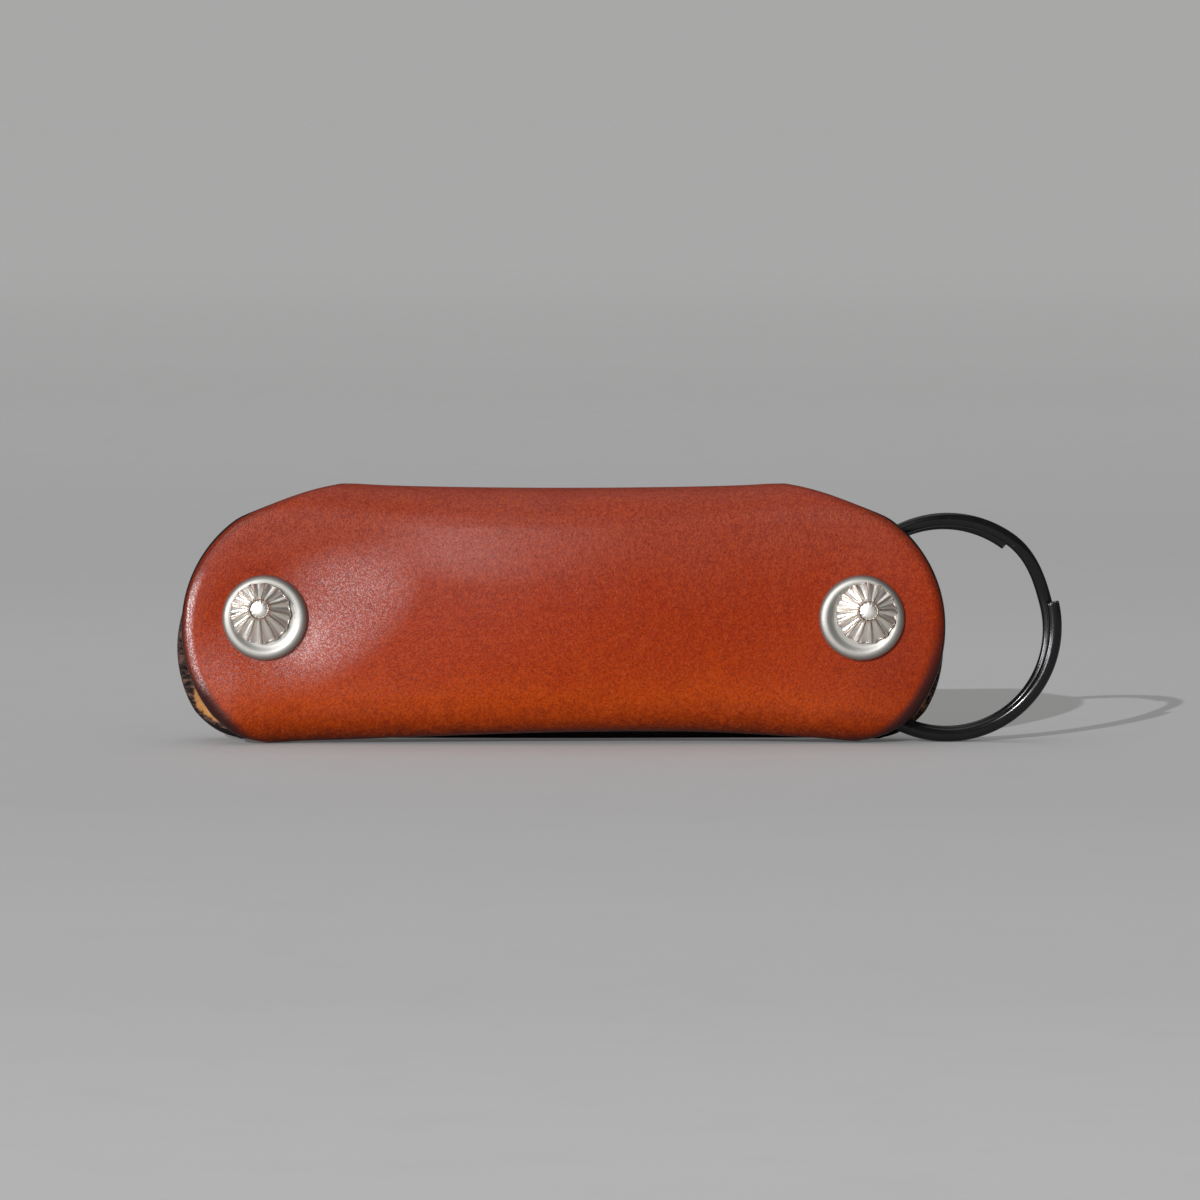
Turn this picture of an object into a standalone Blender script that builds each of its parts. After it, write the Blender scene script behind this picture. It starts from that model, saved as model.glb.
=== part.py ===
"""Key holder: a leather cover folded over two posts, with sunburst caps in front and a split ring.

X runs along the cover, the front face looks along -Y and the fold is on top (+Z). The cover stands
on its two lower lips, and the origin ends up at the middle of the whole object's base.
"""
import math

import bmesh
import bpy
from mathutils import Vector

MM = 0.001

# Leather cover: the hide and the gap that the posts hold open
leather_thickness = 2.0 * MM
panel_gap = 6.0 * MM
cover_height = 36.3 * MM

# Leather cover: the outline of the two ends, laid out on the flat hide
fold_half_length = 29.8 * MM
fold_corner_round = 0.6 * MM
upper_end_radius = 17.8 * MM
front_half_length = 52.5 * MM
front_widest_below_fold = 22.6 * MM
front_lower_end_length = 15.5 * MM
front_lower_end_overrun = 0.71 * MM

# Leather cover: the rear panel is cut fuller and hangs a little to the left
rear_half_length = 53.5 * MM
rear_widest_below_fold = 26.0 * MM
rear_lower_end_length = 12.0 * MM
rear_lower_end_overrun = 0.31 * MM
rear_panel_shift = 0.5 * MM

# Leather cover: how the section swells between the posts
fold_swell = 1.3 * MM
belly_degrees = 13.0
crest_dip = 0.85 * MM
crest_dip_round_share = 0.6
crest_flare_power = 10

# Leather cover: the lower lips, formed inwards, and the corners that touch the table
lip_roll_radius = 4.5 * MM
lip_degrees_at_posts = 60.0
lip_degrees_in_middle = 76.0
arch_height = 1.6 * MM
arch_at_posts_share = 0.3
corner_droop = 0.95 * MM
corner_reach = 6.5 * MM
edge_round = 0.25 * MM

# Posts: a threaded post soldered under each cap
post_half_spacing = 42.0 * MM
post_height = 18.4 * MM
post_radius = 1.6 * MM
post_flange_overlap = 0.25 * MM
post_end_recess = 0.4 * MM
thread_bore_radius = 1.08 * MM
thread_bore_depth = 5.4 * MM
post_hole_clearance = 0.25 * MM

# Cup washers: a turned rim with a dished floor, hanging a little off the post's axis
cup_radius = 5.85 * MM
cup_rim_width = 1.45 * MM
cup_rim_foot_share = 1.25
cup_height = 1.2 * MM
cup_floor = 0.5 * MM
cup_shift_inward = 0.47 * MM
cup_drop = 0.6 * MM

# Sunburst caps
cap_radius = 4.2 * MM
cap_rim_thickness = 0.35 * MM
cap_rise = 0.75 * MM
cap_slope_power = 1.3
hub_radius = 1.2 * MM
hub_rise = 0.75 * MM
hub_foot_share = 1.12
hub_seat_share = 0.85
ray_count = 13
ray_depth = 0.3 * MM
ray_scallop = 0.2 * MM
ray_notch_share = 0.2
ray_depth_at_hub_share = 0.35

# Back screws and their washers
screw_head_radius = 4.0 * MM
screw_head_thickness = 1.3 * MM
screw_head_edge = 0.45 * MM
screw_shank_radius = 1.0 * MM
screw_engagement = 4.4 * MM
screw_slot_width = 0.9 * MM
screw_slot_depth = 0.6 * MM
back_washer_radius = 4.9 * MM
back_washer_thickness = 0.8 * MM
washer_edge = 0.2 * MM
back_washer_hole_clearance = 0.3 * MM

# Spacers on the posts, between the panels
spacer_radius = 3.3 * MM
key_washer_thickness = 0.8 * MM
spacer_bore_clearance = 0.15 * MM

# Split ring: two coils of flat-sided wire, the rear one a little smaller
ring_radius = 16.0 * MM
wire_width = 1.75 * MM
wire_thickness = 1.35 * MM
wire_corner = 0.42 * MM
coil_gap = 0.14 * MM
coil_step = 0.42 * MM
ring_front_end_degrees = 13.6
ring_rear_end_degrees = 54.5

# Clearances between pieces
seat_gap = 0.1 * MM
ring_side_gap = 0.15 * MM
ring_post_gap = 0.5 * MM
cut_overrun = 1.0 * MM
weld_distance = 0.0001 * MM

# Facets
round_steps = 24
cup_steps = 40
ray_steps = 6
ring_step_degrees = 6.5
cover_columns = 32
slant_rows = 5
upper_end_rows = 5
lower_end_rows = 11

half_gap = panel_gap / 2
post_outer_face = half_gap + leather_thickness


# The scene starts empty
def clear_scene():
    for old in list(bpy.data.objects):
        bpy.data.objects.remove(old)


def make_material(name, colour, roughness, metallic):
    material = bpy.data.materials.new(name)
    material.use_nodes = True
    shader = material.node_tree.nodes["Principled BSDF"]
    shader.inputs["Base Color"].default_value = (*colour, 1.0)
    shader.inputs["Roughness"].default_value = roughness
    shader.inputs["Metallic"].default_value = metallic
    return material


def finish_object(name, mesh, material, parent, place=(0, 0, 0)):
    """Puts a mesh in the scene, shaded smooth but for its sharp edges."""
    mesh.shade_smooth()
    mesh.set_sharp_from_angle(angle=math.radians(38))
    obj = bpy.data.objects.new(name, mesh)
    bpy.context.collection.objects.link(obj)
    obj.location = place
    obj.parent = parent
    if material:
        mesh.materials.append(material)
    return obj


def empty_at(name, place, parent=None):
    axis = bpy.data.objects.new(name, None)
    bpy.context.collection.objects.link(axis)
    axis.location = place
    axis.parent = parent
    return axis


def mesh_from(name, build):
    """A mesh whose faces all point out, made by a function that fills a bmesh."""
    work = bmesh.new()
    build(work)
    bmesh.ops.remove_doubles(work, verts=work.verts, dist=weld_distance)
    bmesh.ops.recalc_face_normals(work, faces=work.faces)
    mesh = bpy.data.meshes.new(name)
    work.to_mesh(mesh)
    work.free()
    return mesh


def turned_mesh(name, outline, steps):
    """Spins an outline of (radius, distance along Y) points round the Y axis."""
    def build(work):
        points = [work.verts.new((radius, along, 0)) for radius, along in outline]
        edges = [work.edges.new(pair) for pair in zip(points, points[1:])]
        if outline[0][0] > 0:
            edges.append(work.edges.new((points[-1], points[0])))
        bmesh.ops.spin(work, geom=points + edges, cent=(0, 0, 0), axis=(0, 1, 0),
                       angle=math.tau, steps=steps, use_merge=True)
    return mesh_from(name, build)


def make_cutter(name, mesh, parent, place=(0, 0, 0)):
    cutter = finish_object(name, mesh, None, parent, place)
    cutter.hide_render = True
    cutter.display_type = "WIRE"
    return cutter


def cut(obj, cutter):
    boolean = obj.modifiers.new(cutter.name, "BOOLEAN")
    boolean.operation = "DIFFERENCE"
    boolean.solver = "EXACT"
    boolean.object = cutter


def box_mesh(name, low, high):
    def build(work):
        bmesh.ops.create_cube(work, size=1)
        for vert in work.verts:
            vert.co = Vector(high[i] if vert.co[i] > 0 else low[i] for i in range(3))
    return mesh_from(name, build)


# The outline of the hide's ends: half length, widest place, and the length and overrun of the lower end
front_panel = (front_half_length, front_widest_below_fold, front_lower_end_length, front_lower_end_overrun)
rear_panel = (rear_half_length, rear_widest_below_fold, rear_lower_end_length, rear_lower_end_overrun)


def slant_end(panel):
    """Where the straight slant from the fold's end meets the round end."""
    half_length, widest_below_fold = panel[:2]
    across = half_length - upper_end_radius - fold_half_length
    distance = math.hypot(across, widest_below_fold)
    direction = math.atan2(widest_below_fold, across) - math.asin(upper_end_radius / distance)
    length = math.sqrt(distance ** 2 - upper_end_radius ** 2)
    return fold_half_length + length * math.cos(direction), length * math.sin(direction)


def lower_end_height(panel):
    """The half height of the lower end's ellipse, whose foot lies just beyond the hide's cut edge."""
    widest_below_fold, overrun = panel[1], panel[3]
    return panel_length - widest_below_fold + overrun


def half_length_at(down, panel):
    """Half the hide's length this far from the crest: a slant, an arc, then an elliptic arc."""
    half_length, widest_below_fold, lower_end_length = panel[:3]
    if down >= widest_below_fold:
        share = (down - widest_below_fold) / lower_end_height(panel)
        return half_length - lower_end_length * (1 - math.sqrt(1 - share ** 2))
    touch_x, touch_down = slant_end(panel)
    if down >= touch_down:
        rise = widest_below_fold - down
        return half_length - upper_end_radius + math.sqrt(upper_end_radius ** 2 - rise ** 2)
    slope = (touch_x - fold_half_length) / touch_down
    return fold_half_length + slope * math.hypot(down, fold_corner_round * (1 - down / touch_down))


# The section of the cover: a fold, a side that bellies out, and a lip that rolls in
def along_arc(start, angle, curvature, length):
    """The end and the end angle of an arc. The angle is 0 at the crest and grows down the panel."""
    half_turn = curvature * length / 2
    chord = length * (math.sin(half_turn) / half_turn if abs(half_turn) > 1e-9 else 1)
    middle = angle + half_turn
    end = (start[0] + chord * math.cos(middle), start[1] - chord * math.sin(middle))
    return end, angle + curvature * length


def swell_at(x):
    """1 in the middle of the cover, falling to 0 before the flat seats of the cup washers."""
    flat_from = post_half_spacing - cup_radius - cup_shift_inward
    return 0.5 + 0.5 * math.cos(math.pi * min(abs(x) / flat_from, 1))


def crest_height(x):
    """The fold dips between its two flared ends."""
    share = min(abs(x) / half_length_at(0, front_panel), 1)
    lift = crest_dip_round_share * share ** 2
    lift += (1 - crest_dip_round_share) * share ** crest_flare_power
    return cover_height - crest_dip + crest_dip * lift


def lip_height(x):
    """The lower edge arches between the corners."""
    rise = arch_at_posts_share + (1 - arch_at_posts_share) * swell_at(x)
    return arch_height * rise


def section_at(x):
    """The fold's, side's and lip's (curvature, length) at this place along the cover."""
    swell = swell_at(x)
    fold_radius = post_outer_face + fold_swell * swell
    belly = math.radians(belly_degrees) * swell
    lip_turn = math.radians(lip_degrees_at_posts + (lip_degrees_in_middle - lip_degrees_at_posts) * swell)
    fold = (1 / fold_radius, fold_radius * (math.pi / 2 - belly))
    lip = (1 / lip_roll_radius, lip_roll_radius * (lip_turn - belly))
    fold_drop = fold_radius * (1 - math.sin(belly))
    lip_drop = lip_roll_radius * (math.sin(lip_turn) - math.sin(belly))
    side_drop = crest_height(x) - lip_height(x) - fold_drop - lip_drop
    slackness = belly / math.sin(belly) if belly > 1e-9 else 1
    side_length = side_drop * slackness
    side = (2 * belly / side_length, side_length)
    return fold, side, lip


def rest_lengths():
    """The three lengths down a panel where it is flat, beside the posts."""
    fold, side, lip = section_at(post_half_spacing)
    return fold[1], side[1], lip[1]


fold_length, side_length, lip_length = rest_lengths()
panel_length = fold_length + side_length + lip_length


def corner_sag(x, panel, share_of_lip):
    """The corners of the lips reach down to the table."""
    inboard = max(half_length_at(panel_length, panel) - abs(x), 0)
    share = max(1 - inboard / corner_reach, 0)
    return corner_droop * share ** 2 * share_of_lip


def point_on_cover(x, down, depth, panel):
    """A point of one panel: down is the length from the crest, depth goes into the hide."""
    place, angle = (0, crest_height(x)), 0
    share_of_lip = 0
    for (curvature, length), nominal in zip(section_at(x), (fold_length, side_length, lip_length)):
        part = min(max(down / nominal, 0), 1)
        place, angle = along_arc(place, angle, curvature, length * part)
        down -= nominal
        share_of_lip = part
    out = place[0] - depth * math.sin(angle)
    up = place[1] - depth * math.cos(angle) - corner_sag(x, panel, share_of_lip)
    return out, up


def rows_down_panel(panel):
    """Distances from the crest, close together round the fold and the lower arc."""
    widest_below_fold = panel[1]
    end_height = lower_end_height(panel)
    lowest = math.asin((panel_length - widest_below_fold) / end_height)
    touch_x, touch_down = slant_end(panel)
    rows = [touch_down * row / slant_rows for row in range(slant_rows)]
    start = math.asin((touch_down - widest_below_fold) / upper_end_radius)
    for row in range(upper_end_rows):
        rows.append(widest_below_fold + upper_end_radius * math.sin(start * (1 - row / upper_end_rows)))
    for row in range(lower_end_rows + 1):
        rows.append(widest_below_fold + end_height * math.sin(lowest * row / lower_end_rows))
    return rows


def build_cover(work):
    """Lofts the outer and the inner skin of the hide and closes its edge all round."""
    rows = [-down for down in reversed(rows_down_panel(rear_panel)[1:])] + rows_down_panel(front_panel)
    last_row, last_column = len(rows) - 1, cover_columns

    def skin(depth):
        grid = []
        for down in rows:
            front = down >= 0
            panel = front_panel if front else rear_panel
            half = half_length_at(abs(down), panel)
            shift = 0 if front else rear_panel_shift * min(-down / rear_widest_below_fold, 1)
            line = []
            for column in range(cover_columns + 1):
                x = (2 * column / cover_columns - 1) * half
                out, up = point_on_cover(x, abs(down), depth, panel)
                line.append(work.verts.new((x - shift, -out if front else out, up)))
            grid.append(line)
        return grid

    outer, inner = skin(0), skin(leather_thickness)
    for row in range(last_row):
        for column in range(last_column):
            corners = [(row, column), (row, column + 1), (row + 1, column + 1), (row + 1, column)]
            work.faces.new([outer[i][j] for i, j in corners])
            work.faces.new([inner[i][j] for i, j in reversed(corners)])

    # The edge has a rounded middle line, as a burnished edge does
    border = [(0, column) for column in range(last_column)]
    border += [(row, last_column) for row in range(last_row)]
    border += [(last_row, column) for column in range(last_column, 0, -1)]
    border += [(row, 0) for row in range(last_row, 0, -1)]
    middle = []
    for row, column in border:
        near_row = min(max(row, 1), last_row - 1)
        near_column = min(max(column, 1), last_column - 1)
        centre = (outer[row][column].co + inner[row][column].co) / 2
        inward = (outer[near_row][near_column].co + inner[near_row][near_column].co) / 2
        middle.append(work.verts.new(centre + (centre - inward).normalized() * edge_round))
    for index, (row, column) in enumerate(border):
        following = (index + 1) % len(border)
        next_row, next_column = border[following]
        for skin_grid in (outer, inner):
            work.faces.new((skin_grid[row][column], skin_grid[next_row][next_column],
                            middle[following], middle[index]))


def make_cover(root, material):
    cover = finish_object("leather_cover", mesh_from("leather_cover", build_cover), material, root)
    hole_radius = post_radius + post_hole_clearance
    hole_end = post_outer_face + cut_overrun
    hole_outline = [(0, -hole_end), (hole_radius, -hole_end), (hole_radius, hole_end), (0, hole_end)]
    hole_mesh = turned_mesh("post_hole", hole_outline, round_steps)
    for side, x in (("left", -post_half_spacing), ("right", post_half_spacing)):
        cut(cover, make_cutter(side + "_post_hole", hole_mesh, root, (x, 0, post_height)))
    reach = rear_half_length + rear_panel_shift + cut_overrun
    depth = post_outer_face + fold_swell + cut_overrun
    table = box_mesh("table_cut", (-reach, -depth, -corner_droop - cut_overrun), (reach, depth, 0))
    cut(cover, make_cutter("table_cut", table, root))
    return cover


# Hardware of one post, in places along Y measured from the middle of the gap
cup_offset = math.hypot(cup_shift_inward, cup_drop)
cup_hole_radius = post_radius + cup_offset + seat_gap
flange_seat = post_outer_face + cup_floor + 2 * seat_gap
cap_seat = post_outer_face + cup_height + 2 * seat_gap
back_washer_face = post_outer_face + seat_gap
screw_seat = back_washer_face + back_washer_thickness + seat_gap


def cup_mesh():
    """The rim is a round bead, the floor is flat and its hole is wide enough to hang off centre."""
    half_rim = cup_rim_width / 2
    bead_middle = cup_radius - half_rim
    bead_shares = [(0.67, 0.0), (1.0, 0.28), (0.93, 0.62), (0.6, 0.9), (0.0, 1.0), (-0.6, 0.88), (-0.93, 0.62)]
    bead = [(bead_middle + half_rim * across, cup_height * up) for across, up in bead_shares]
    foot = bead_middle - half_rim * cup_rim_foot_share
    outline = [(cup_hole_radius, 0)] + bead + [(foot, cup_floor), (cup_hole_radius, cup_floor)]
    back = -post_outer_face - seat_gap
    return turned_mesh("cup_washer", [(radius, back - up) for radius, up in outline], cup_steps)


def post_mesh():
    """A flanged post with a threaded blind bore that opens to the back."""
    flange_face = -cap_seat + seat_gap
    flange_radius = cup_hole_radius + cup_offset + post_flange_overlap
    end = post_outer_face - post_end_recess
    outline = [(0, flange_face), (flange_radius, flange_face), (flange_radius, -flange_seat),
               (post_radius, -flange_seat), (post_radius, end), (thread_bore_radius, end),
               (thread_bore_radius, end - thread_bore_depth), (0, end - thread_bore_depth)]
    return turned_mesh("threaded_post", outline, round_steps)


def ray_height(share_out, share_round):
    """How far a point of the cap lies under its ridges: a hollow ray, then a narrow notch."""
    from_notch = min(share_round, 1 - share_round) * 2
    if from_notch < ray_notch_share:
        return ray_depth * (1 - from_notch / ray_notch_share)
    across_share = (from_notch - ray_notch_share) / (1 - ray_notch_share)
    deepening = ray_depth_at_hub_share + (1 - ray_depth_at_hub_share) * share_out
    return ray_depth * deepening * math.sin(math.pi / 2 * across_share)


def build_cap(work):
    """A domed hub, hollow rays that fan out to a scalloped rim, and a flat underside."""
    steps = ray_count * ray_steps
    slope_start = hub_radius * hub_foot_share
    rim_height = cap_rim_thickness
    hub_seat = rim_height + cap_rise * hub_seat_share
    dome_shares = [0.45, 0.8, 1.0]
    slope_shares = [0.0, 0.3, 0.65, 1.0]

    def ring_of(radius_at, height_at):
        ring = []
        for step in range(steps):
            angle = math.tau * step / steps
            share_round = (step % ray_steps) / ray_steps
            radius, height = radius_at(share_round), height_at(share_round)
            point = (radius * math.cos(angle), -cap_seat - height, radius * math.sin(angle))
            ring.append(work.verts.new(point))
        return ring

    rings = []
    for share in dome_shares:
        dome = hub_seat + hub_rise * math.sqrt(1 - share ** 2)
        rings.append(ring_of(lambda part, share=share: hub_radius * share, lambda part, dome=dome: dome))
    for share in slope_shares:
        radius = slope_start + (cap_radius - slope_start) * share
        height = rim_height + cap_rise * (1 - share ** cap_slope_power)
        scallop = ray_scallop * share ** 3
        rings.append(ring_of(
            lambda part, radius=radius, scallop=scallop: radius - scallop * math.sin(math.pi * part),
            lambda part, height=height, share=share: height - ray_height(share, part)))
    rings.append(ring_of(lambda part: cap_radius - ray_scallop * math.sin(math.pi * part), lambda part: 0))
    top = work.verts.new((0, -cap_seat - hub_seat - hub_rise, 0))
    under = work.verts.new((0, -cap_seat, 0))
    for step in range(steps):
        following = (step + 1) % steps
        work.faces.new((top, rings[0][step], rings[0][following]))
        work.faces.new((under, rings[-1][following], rings[-1][step]))
        for near, far in zip(rings, rings[1:]):
            work.faces.new((near[step], far[step], far[following], near[following]))


def flat_washer_mesh(name, radius, hole, start, thickness):
    """A flat washer whose outer edge is broken on both sides."""
    end = start + thickness
    outline = [(hole, start), (radius - washer_edge, start), (radius, start + washer_edge),
               (radius, end - washer_edge), (radius - washer_edge, end), (hole, end)]
    return turned_mesh(name, outline, round_steps)


def screw_mesh():
    """A low head with a rounded edge, and a shank that runs inside the post's bore."""
    head_end = screw_seat + screw_head_thickness
    shank_end = post_outer_face - post_end_recess - screw_engagement
    round_edge = [(screw_head_radius - screw_head_edge * (1 - math.cos(turn)),
                   head_end - screw_head_edge * (1 - math.sin(turn)))
                  for turn in (0, math.pi / 6, math.pi / 3, math.pi / 2)]
    outline = [(0, shank_end), (screw_shank_radius, shank_end), (screw_shank_radius, screw_seat),
               (screw_head_radius, screw_seat)] + round_edge + [(0, head_end)]
    return turned_mesh("back_screw", outline, round_steps)


def make_post_hardware(root, side, x, materials):
    """The cap, cup washer, post, back washer and screw of one end, on the post's own axis."""
    axis = empty_at(side + "_post_axis", (x, 0, post_height), root)
    inward = math.copysign(cup_shift_inward, -x)
    cup_place = (inward, 0, -cup_drop)
    finish_object(side + "_cup_washer", cup_mesh(), materials["satin_nickel"], axis, cup_place)
    cap = mesh_from("sunburst_cap", build_cap)
    finish_object(side + "_sunburst_cap", cap, materials["bright_nickel"], axis)
    finish_object(side + "_threaded_post", post_mesh(), materials["steel"], axis)
    hole = screw_shank_radius + back_washer_hole_clearance
    washer = flat_washer_mesh("back_washer", back_washer_radius, hole, back_washer_face, back_washer_thickness)
    finish_object(side + "_back_washer", washer, materials["satin_nickel"], axis)

    # The screw turns and travels along the axis, so its own empty carries it
    screw_axis = empty_at(side + "_screw_axis", (0, 0, 0), axis)
    screw = finish_object(side + "_back_screw", screw_mesh(), materials["bright_nickel"], screw_axis)
    head_end = screw_seat + screw_head_thickness
    half_slot = screw_slot_width / 2
    reach = screw_head_radius + cut_overrun
    slot = box_mesh("screw_slot", (-reach, head_end - screw_slot_depth, -half_slot),
                    (reach, head_end + cut_overrun, half_slot))
    cut(screw, make_cutter(side + "_screw_slot", slot, screw_axis))
    return axis


def make_spacers(left_axis, right_axis, materials):
    """Three thin washers leave room for two keys; two thick ones centre the ring."""
    hole = post_radius + spacer_bore_clearance
    front = -half_gap + seat_gap

    def spacer(name, start, thickness, axis):
        mesh = flat_washer_mesh(name, spacer_radius, hole, start, thickness)
        finish_object(name, mesh, materials["nylon"], axis)

    spacer("left_front_spacer", front, key_washer_thickness, left_axis)
    spacer("left_key_washer", -key_washer_thickness / 2, key_washer_thickness, left_axis)
    spacer("left_rear_spacer", half_gap - seat_gap - key_washer_thickness, key_washer_thickness, left_axis)
    ring_half = wire_thickness + coil_gap / 2
    thickness = half_gap - seat_gap - ring_half - ring_side_gap
    spacer("right_front_spacer", front, thickness, right_axis)
    spacer("right_rear_spacer", ring_half + ring_side_gap, thickness, right_axis)


# Split ring
def wire_section():
    """The wire's outline as (outward, along Y) offsets: flat sides and broken corners."""
    half_width, half_thickness = wire_width / 2, wire_thickness / 2
    inner_width, inner_thickness = half_width - wire_corner, half_thickness - wire_corner
    corner = [(half_width, inner_thickness), (inner_width, half_thickness)]
    right_side = corner + [(-across, along) for across, along in reversed(corner)]
    return right_side + [(-across, -along) for across, along in right_side]


def build_ring(work):
    """One strand: a front coil, a short crossing, and a rear coil that ends where it began to cross."""
    crossing = ring_rear_end_degrees - ring_front_end_degrees
    total = 720 - crossing
    count = round(total / ring_step_degrees)
    half_layer = (wire_thickness + coil_gap) / 2
    loops = []
    for index in range(count + 1):
        turned = total * index / count
        crossed = min(max((turned - (360 - crossing)) / crossing, 0), 1)
        crossed = crossed * crossed * (3 - 2 * crossed)
        angle = math.radians(ring_front_end_degrees - turned)
        middle = ring_radius - wire_width / 2 - coil_step * crossed
        layer = half_layer * (2 * crossed - 1)
        loop = []
        for outward, along in wire_section():
            reach = middle + outward
            loop.append(work.verts.new((reach * math.cos(angle), layer + along, reach * math.sin(angle))))
        loops.append(loop)
    corners = len(loops[0])
    for near, far in zip(loops, loops[1:]):
        for index in range(corners):
            following = (index + 1) % corners
            work.faces.new((near[index], near[following], far[following], far[index]))
    work.faces.new(list(reversed(loops[0])))
    work.faces.new(loops[-1])


def make_ring(root, material):
    """The ring hangs round the right post and rests on the table; it swings about the post."""
    swing_axis = empty_at("ring_swing_axis", (post_half_spacing, 0, post_height), root)
    inner_radius = ring_radius - wire_width - coil_step
    distance = inner_radius - post_radius - ring_post_gap
    drop = post_height - ring_radius
    place = (math.sqrt(distance ** 2 - drop ** 2), 0, -drop)
    return finish_object("split_ring", mesh_from("split_ring", build_ring), material, swing_axis, place)


def stand_at_origin(root):
    """Moves the whole object so that the middle of its base is at the world's origin."""
    bpy.context.view_layer.update()
    graph = bpy.context.evaluated_depsgraph_get()
    points = []
    for obj in bpy.data.objects:
        if obj.type == "MESH" and not obj.hide_render:
            shown = obj.evaluated_get(graph)
            points += [shown.matrix_world @ vert.co for vert in shown.data.vertices]
    low = [min(point[i] for point in points) for i in range(3)]
    high = [max(point[i] for point in points) for i in range(3)]
    root.location = (-(low[0] + high[0]) / 2, -(low[1] + high[1]) / 2, -low[2])
    bpy.context.view_layer.update()
    for name in ("left_post_axis", "right_post_axis", "ring_swing_axis", "split_ring"):
        place = bpy.data.objects[name].matrix_world.translation / MM
        print(name, "at", [round(value, 4) for value in place], "mm")
    print("size", [round((high[i] - low[i]) / MM, 3) for i in range(3)], "mm")


def main():
    clear_scene()
    materials = {
        "leather": make_material("bridle_leather", (0.36, 0.07, 0.02), 0.38, 0.0),
        "bright_nickel": make_material("bright_nickel", (0.62, 0.59, 0.54), 0.18, 1.0),
        "satin_nickel": make_material("satin_nickel", (0.60, 0.57, 0.52), 0.34, 1.0),
        "steel": make_material("post_steel", (0.5, 0.5, 0.5), 0.3, 1.0),
        "nylon": make_material("black_nylon", (0.03, 0.03, 0.03), 0.5, 0.0),
        "black_steel": make_material("black_plated_steel", (0.02, 0.02, 0.022), 0.35, 0.6),
    }
    root = empty_at("key_holder", (0, 0, 0))
    make_cover(root, materials["leather"])
    left_axis = make_post_hardware(root, "left", -post_half_spacing, materials)
    right_axis = make_post_hardware(root, "right", post_half_spacing, materials)
    make_spacers(left_axis, right_axis, materials)
    make_ring(root, materials["black_steel"])
    stand_at_origin(root)


main()
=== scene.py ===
# %% [markdown]
# # A folded leather key holder
#
# One piece of waxed bridle leather is folded over two threaded posts. Each post carries a
# stamped sunburst cap in front, and a slotted screw closes it from the back. A black split
# ring hangs round the right post. This lesson dresses the object piece by piece: first the
# shape of a piece, then its finish. All places are in metres, and sizes are written in
# millimetres because that is how a leather worker would measure them.

# %% Load the frame
import math

import bmesh
import bpy
import numpy as np
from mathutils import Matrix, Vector


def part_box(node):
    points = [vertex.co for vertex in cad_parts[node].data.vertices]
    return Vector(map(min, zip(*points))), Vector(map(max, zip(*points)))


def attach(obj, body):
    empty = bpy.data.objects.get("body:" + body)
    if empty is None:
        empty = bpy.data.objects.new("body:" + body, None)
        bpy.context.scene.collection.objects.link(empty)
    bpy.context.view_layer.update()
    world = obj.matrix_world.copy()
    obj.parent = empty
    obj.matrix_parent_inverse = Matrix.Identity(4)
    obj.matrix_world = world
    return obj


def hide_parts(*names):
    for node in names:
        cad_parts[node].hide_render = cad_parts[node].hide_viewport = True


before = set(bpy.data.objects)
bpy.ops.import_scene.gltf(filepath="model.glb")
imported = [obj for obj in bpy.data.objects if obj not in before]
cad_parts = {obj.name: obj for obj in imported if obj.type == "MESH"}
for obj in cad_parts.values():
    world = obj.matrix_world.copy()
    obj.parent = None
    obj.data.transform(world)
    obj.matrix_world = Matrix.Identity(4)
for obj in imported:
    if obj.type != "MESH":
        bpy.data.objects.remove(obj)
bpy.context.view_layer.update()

MM = 0.001

# %% [markdown]
# ## Places
#
# Every piece is laid out from two axes: the left post and the right post. The washer between the keys is
# centred on the left post and in the gap, so its box gives the middle of the gap. Each post's own box gives
# its axis.

# %% The two post axes
def middle_of(node):
    low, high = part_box(node)
    return (low + high) / 2


def post_place(side):
    middle = middle_of(side + "_threaded_post")
    return Vector((middle.x, gap_middle, middle.z))


gap_middle = middle_of("left_key_washer").y
post_places = {side: post_place(side) for side in ("left", "right")}
half_spacing = (post_places["right"].x - post_places["left"].x) / 2 / MM
cover_middle = (post_places["right"] + post_places["left"]) / 2
print("posts are", round(2 * half_spacing, 2), "mm apart,", round(cover_middle.z / MM, 2), "mm up")

# %% [markdown]
# ## Camera
#
# The photograph was taken from about a metre away, a little above the table, with a long lens.
# A long lens from far away keeps the cover's outline almost flat, so the width of what it sees
# at one metre sets its length.

# %% The camera
camera_aim = Vector((-2.54, 1.38, 19.69)) * MM
camera_pitch = math.radians(4.0)
camera_distance = 1.0
view_width_at_aim = 167.6 * MM


def put(name, data):
    """A new object in the scene."""
    made = bpy.data.objects.new(name, data)
    bpy.context.scene.collection.objects.link(made)
    return made


def make_camera():
    data = bpy.data.cameras.new("studio_camera")
    data.sensor_width = 36.0
    data.lens = data.sensor_width * camera_distance / view_width_at_aim
    data.clip_start, data.clip_end = 0.05, 60.0
    camera = put("studio_camera", data)
    back = Vector((0, -math.cos(camera_pitch), math.sin(camera_pitch)))
    camera.location = camera_aim + back * camera_distance
    camera.rotation_euler = (math.pi / 2 - camera_pitch, 0, 0)
    bpy.context.scene.camera = camera
    return data.lens


print("lens", round(make_camera(), 1), "mm")

# %% [markdown]
# ## A small language for finishes
#
# A finish is a network of shader nodes. Written link by link it is long and hard to read, so
# `Amount` wraps one socket and lets ordinary sums add the Math nodes, and `Network.node` adds
# every other node from its type, its settings and what goes into its sockets. The numbers that
# are the same all over a surface go straight onto the shader.

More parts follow.
